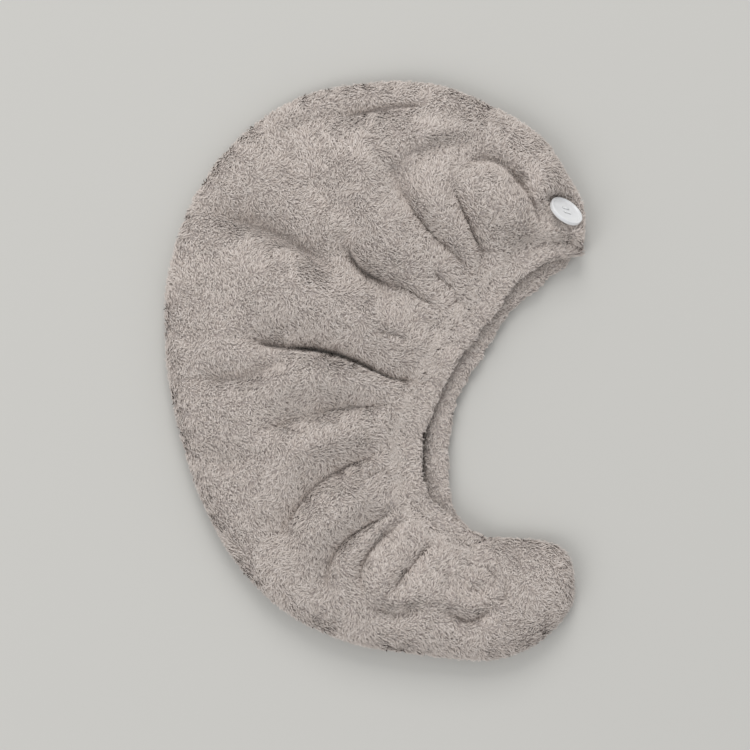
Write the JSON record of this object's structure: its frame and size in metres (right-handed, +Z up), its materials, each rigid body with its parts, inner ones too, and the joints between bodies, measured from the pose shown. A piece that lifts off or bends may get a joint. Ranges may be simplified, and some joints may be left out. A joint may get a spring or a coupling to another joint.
{
  "type": "hair turban towel",
  "caption": "Gathered fleece hair turban lying flat: two hollow cloth panels, an elastic hem round the opening, a padded tail and a button.",
  "frame": {"origin": "on the table, under the middle of the towel's outline", "axes": "+Z up from the table; +Y along the towel, from the tail towards the button end; +X from the outer seam towards the opening"},
  "size_m": [0.2692, 0.3718, 0.0463],
  "materials": {
    "fleece": "matte",
    "casing": "matte",
    "button": "gloss",
    "thread": "matte"
  },
  "bodies": {
    "root": {"front_panel": "fleece", "back_panel": "fleece", "opening_hem": "casing", "button": "button", "button_thread": "thread"}
  },
  "joints": []
}
